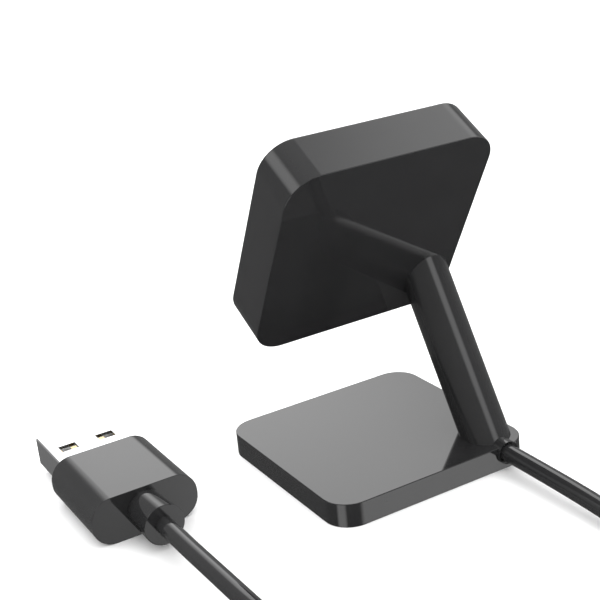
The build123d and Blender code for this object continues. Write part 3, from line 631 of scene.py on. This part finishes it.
def make_strap():
    """The soft strap that holds the coil: the lap, then the band, hollowed from both sides."""
    shape = bmesh.new()
    block(shape, *LAP_SIZE, LAP_ROUND, 0, LAP_THICK, arc=6)
    soften(shape, LAP_THICK, LAP_THICK / 2)
    top = STRAP_INNER[1] / 2 + STRAP_THICK
    bmesh.ops.transform(shape, matrix=plane((LAP_SHIFT, top, 0), (1, 0, 0), (0, 1, 0)), verts=shape.verts)
    half, soft = STRAP_WIDTH / 2, STRAP_THICK / 3
    outer = [size + 2 * STRAP_THICK for size in STRAP_INNER]
    block(shape, *outer, STRAP_ROUND + STRAP_THICK, -half, half, arc=STRAP_STEPS)
    for depth in (-half, half):
        soften(shape, depth, soft, 1)
        inset(shape, depth, STRAP_THICK - 2 * soft)
        inset(shape, depth, soft, -soft)
    sides = [widest(shape, depth) for depth in (soft - half, half - soft)]
    outlines = [edge for side in sides for edge in side.edges]
    bmesh.ops.delete(shape, geom=sides, context="FACES_ONLY")
    bmesh.ops.bridge_loops(shape, edges=outlines)
    return new_piece("coil_strap", shape, "tie_black", "cord_tie", seat=STRAP, sharp=SOFT)


make_base_cover()
make_head_shell()
make_cradle()
make_stem()
for node in ("base_plate", "foot_pad", "base_screws", "pin_block", "pin_barrels"):
    refine(node)
for number in range(1, 5):
    refine(f"plunger_{number}", f"pin_{number}")
cord_pieces = [make_gland(), make_plug_grip(), make_plug_shell(), make_strap()]
cord_pieces += [refine(node) for node in ("plug_tongue", "plug_contacts")]


# Stage: a pale floor, and a studio of soft panels round the dock
FLOOR_SIZE = 4.0
FLOOR_WHITE = 0.9


def make_floor():
    """A wide pale floor that keeps the shadows. The polished faces mirror the room below it instead."""
    mesh = bpy.data.meshes.new("floor")
    shape = bmesh.new()
    bmesh.ops.create_grid(shape, x_segments=1, y_segments=1, size=FLOOR_SIZE)
    shape.to_mesh(mesh)
    shape.free()
    floor = bpy.data.objects.new("floor", mesh)
    bpy.context.scene.collection.objects.link(floor)
    material = bpy.data.materials.new("floor_white")
    material.use_nodes = True
    shader = material.node_tree.nodes["Principled BSDF"]
    shader.inputs["Base Color"].default_value = (FLOOR_WHITE, FLOOR_WHITE, FLOOR_WHITE, 1)
    shader.inputs["Roughness"].default_value = 0.9
    shader.inputs["Specular IOR Level"].default_value = 0.0
    mesh.materials.append(material)
    floor.visible_glossy = False


# Soft panels round the dock: where each one's middle stands (its bearing from +X and its height, in degrees),
# how wide its full and its fading parts reach from there, and its brightness, less than zero for a dark flag
PANELS = (
    (-112, 38, 9, 25, 2.25),
    (-96.5, 31, 0, 10.5, -0.8),
    (-172, 43, 6, 24, 1.7),
    (-27, 39, 4, 19, 2.0),
    (103, 34, 2, 19, 1.95),
    (26, -30, 6, 20, 2.1),
    (138, -22, 14, 36.5, 2.0),
)
# The dim room: from and to which height it brightens (the sine of the angle above level), and by how much
ROOM = ((-1.0, -0.5, 0.07), (-0.5, 0.15, 0.22), (0.5, 1.0, 0.4))
ROOM_DIMMEST = 0.09


def make_room():
    """The world: white to the camera, and to the polished faces a dim room with soft bright panels."""
    world = bpy.data.worlds.new("room")
    bpy.context.scene.world = world
    world.use_nodes = True
    tree = world.node_tree
    way = tree.nodes.new("ShaderNodeTexCoord").outputs["Generated"]
    split = tree.nodes.new("ShaderNodeSeparateXYZ")
    tree.links.new(way, split.inputs["Vector"])

    def brighten(total, value, low, high, strength, kind):
        ramp = tree.nodes.new("ShaderNodeMapRange")
        ramp.interpolation_type = kind
        ramp.inputs["From Min"].default_value = low
        ramp.inputs["From Max"].default_value = high
        ramp.inputs["To Max"].default_value = strength
        tree.links.new(value, ramp.inputs["Value"])
        node = tree.nodes.new("ShaderNodeMath")
        node.operation = "ADD"
        node.inputs[0].default_value = ROOM_DIMMEST
        if total:
            tree.links.new(total, node.inputs[0])
        tree.links.new(ramp.outputs["Result"], node.inputs[1])
        return node.outputs["Value"]

    total = None
    for low, high, strength in ROOM:
        total = brighten(total, split.outputs["Z"], low, high, strength, "LINEAR")
    for bearing, height, full, fade, strength in PANELS:
        bearing, height = math.radians(bearing), math.radians(height)
        middle = (math.cos(bearing) * math.cos(height), math.sin(bearing) * math.cos(height), math.sin(height))
        product = tree.nodes.new("ShaderNodeVectorMath")
        product.operation = "DOT_PRODUCT"
        product.inputs[1].default_value = middle
        tree.links.new(way, product.inputs[0])
        edges = (math.cos(math.radians(fade)), math.cos(math.radians(full)))
        total = brighten(total, product.outputs["Value"], *edges, strength, "SMOOTHSTEP")
    seen = tree.nodes.new("ShaderNodeLightPath")
    choice = tree.nodes.new("ShaderNodeMix")
    tree.links.new(seen.outputs["Is Camera Ray"], choice.inputs["Factor"])
    tree.links.new(total, choice.inputs["A"])
    choice.inputs["B"].default_value = 1.0
    tree.links.new(choice.outputs["Result"], tree.nodes["Background"].inputs["Strength"])
    tree.nodes["Background"].inputs["Color"].default_value = (1, 1, 1, 1)


OVERHEAD_SIZE = 4.0
OVERHEAD_HEIGHT = 1.0
OVERHEAD_POWER = 75.0


def make_overhead():
    """A wide soft lamp over the floor, too broad to show as a mirrored shape."""
    data = bpy.data.lights.new("overhead", "AREA")
    data.shape = "SQUARE"
    data.size = OVERHEAD_SIZE
    data.energy = OVERHEAD_POWER
    lamp = bpy.data.objects.new("overhead", data)
    lamp.location = (0, 0, OVERHEAD_HEIGHT)
    lamp.visible_camera = False
    lamp.visible_glossy = False
    bpy.context.scene.collection.objects.link(lamp)


make_floor()
make_room()
make_overhead()

bpy.context.scene.view_settings.view_transform = "Standard"
bpy.context.view_layer.update()
